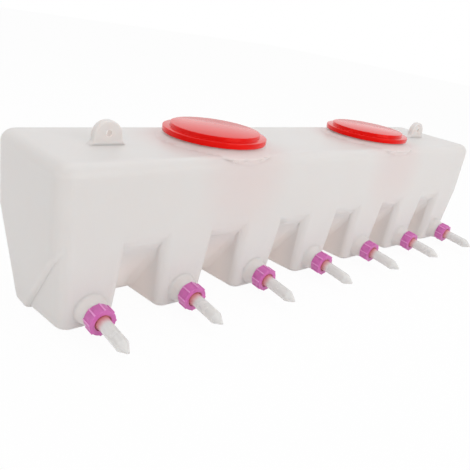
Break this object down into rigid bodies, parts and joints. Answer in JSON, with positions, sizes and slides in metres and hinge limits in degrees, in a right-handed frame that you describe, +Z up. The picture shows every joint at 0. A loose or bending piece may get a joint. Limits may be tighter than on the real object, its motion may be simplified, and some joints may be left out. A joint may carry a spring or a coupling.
{
  "type": "calf trough feeder",
  "caption": "Long closed moulded milk trough with tapered pockets below, a ribbed union nut and teat on each, and round push-on lids on wide filler necks.",
  "frame": {"origin": "on the floor plane that the feeder stands on, under the middle pocket, halfway along the depth of the tank's foot", "axes": "+X along the tank to the right as seen from the teats, +Y to the back, away from the teats, +Z up"},
  "size_m": [1.346, 0.392, 0.3529],
  "materials": {
    "tank": "translucent natural polyethylene, satin",
    "lid": "glossy",
    "nut": "satin",
    "teat": "translucent silicone",
    "valve": "silicone"
  },
  "bodies": {
    "tank": {"tank": "tank"},
    "lid_left": {"lid_left": "lid"},
    "lid_right": {"lid_right": "lid"},
    "teat_1": {"teat_1": "teat", "flap_valve_1": "valve"},
    "nut_1": {"nut_1": "nut"},
    "teat_2": {"teat_2": "teat", "flap_valve_2": "valve"},
    "nut_2": {"nut_2": "nut"},
    "teat_3": {"teat_3": "teat", "flap_valve_3": "valve"},
    "nut_3": {"nut_3": "nut"},
    "teat_4": {"teat_4": "teat", "flap_valve_4": "valve"},
    "nut_4": {"nut_4": "nut"},
    "teat_5": {"teat_5": "teat", "flap_valve_5": "valve"},
    "nut_5": {"nut_5": "nut"},
    "teat_6": {"teat_6": "teat", "flap_valve_6": "valve"},
    "nut_6": {"nut_6": "nut"},
    "teat_7": {"teat_7": "teat", "flap_valve_7": "valve"},
    "nut_7": {"nut_7": "nut"}
  },
  "joints": [
    {"name": "lid_left_lift", "type": "slide", "parent": "tank", "child": "lid_left", "axis": [0, 0, 1], "range_m": [0, 0.06]},
    {"name": "lid_right_lift", "type": "slide", "parent": "tank", "child": "lid_right", "axis": [0, 0, 1], "range_m": [0, 0.06]},
    {"name": "teat_slide_1", "type": "slide", "parent": "tank", "child": "teat_1", "axis": [0, -0.9972, -0.075], "range_m": [0, 0.015]},
    {"name": "nut_turn_1", "type": "hinge", "parent": "teat_1", "child": "nut_1", "pos_m": [-0.6, -0.09, 0.041], "axis": [0, -0.9972, -0.075], "range_deg": [0, 899.9]},
    {"name": "teat_slide_2", "type": "slide", "parent": "tank", "child": "teat_2", "axis": [0, -0.9972, -0.075], "range_m": [0, 0.015]},
    {"name": "nut_turn_2", "type": "hinge", "parent": "teat_2", "child": "nut_2", "pos_m": [-0.4, -0.09, 0.041], "axis": [0, -0.9972, -0.075], "range_deg": [0, 899.9]},
    {"name": "teat_slide_3", "type": "slide", "parent": "tank", "child": "teat_3", "axis": [0, -0.9972, -0.075], "range_m": [0, 0.015]},
    {"name": "nut_turn_3", "type": "hinge", "parent": "teat_3", "child": "nut_3", "pos_m": [-0.2, -0.09, 0.041], "axis": [0, -0.9972, -0.075], "range_deg": [0, 899.9]},
    {"name": "teat_slide_4", "type": "slide", "parent": "tank", "child": "teat_4", "axis": [0, -0.9972, -0.075], "range_m": [0, 0.015]},
    {"name": "nut_turn_4", "type": "hinge", "parent": "teat_4", "child": "nut_4", "pos_m": [0, -0.09, 0.041], "axis": [0, -0.9972, -0.075], "range_deg": [0, 899.9]},
    {"name": "teat_slide_5", "type": "slide", "parent": "tank", "child": "teat_5", "axis": [0, -0.9972, -0.075], "range_m": [0, 0.015]},
    {"name": "nut_turn_5", "type": "hinge", "parent": "teat_5", "child": "nut_5", "pos_m": [0.2, -0.09, 0.041], "axis": [0, -0.9972, -0.075], "range_deg": [0, 899.9]},
    {"name": "teat_slide_6", "type": "slide", "parent": "tank", "child": "teat_6", "axis": [0, -0.9972, -0.075], "range_m": [0, 0.015]},
    {"name": "nut_turn_6", "type": "hinge", "parent": "teat_6", "child": "nut_6", "pos_m": [0.4, -0.09, 0.041], "axis": [0, -0.9972, -0.075], "range_deg": [0, 899.9]},
    {"name": "teat_slide_7", "type": "slide", "parent": "tank", "child": "teat_7", "axis": [0, -0.9972, -0.075], "range_m": [0, 0.015]},
    {"name": "nut_turn_7", "type": "hinge", "parent": "teat_7", "child": "nut_7", "pos_m": [0.6, -0.09, 0.041], "axis": [0, -0.9972, -0.075], "range_deg": [0, 899.9]}
  ],
  "couplings": [
    {"joint": "teat_slide_1", "follows": "nut_turn_1", "m_per_rad": 0.00095493},
    {"joint": "teat_slide_2", "follows": "nut_turn_2", "m_per_rad": 0.00095493},
    {"joint": "teat_slide_3", "follows": "nut_turn_3", "m_per_rad": 0.00095493},
    {"joint": "teat_slide_4", "follows": "nut_turn_4", "m_per_rad": 0.00095493},
    {"joint": "teat_slide_5", "follows": "nut_turn_5", "m_per_rad": 0.00095493},
    {"joint": "teat_slide_6", "follows": "nut_turn_6", "m_per_rad": 0.00095493},
    {"joint": "teat_slide_7", "follows": "nut_turn_7", "m_per_rad": 0.00095493}
  ]
}
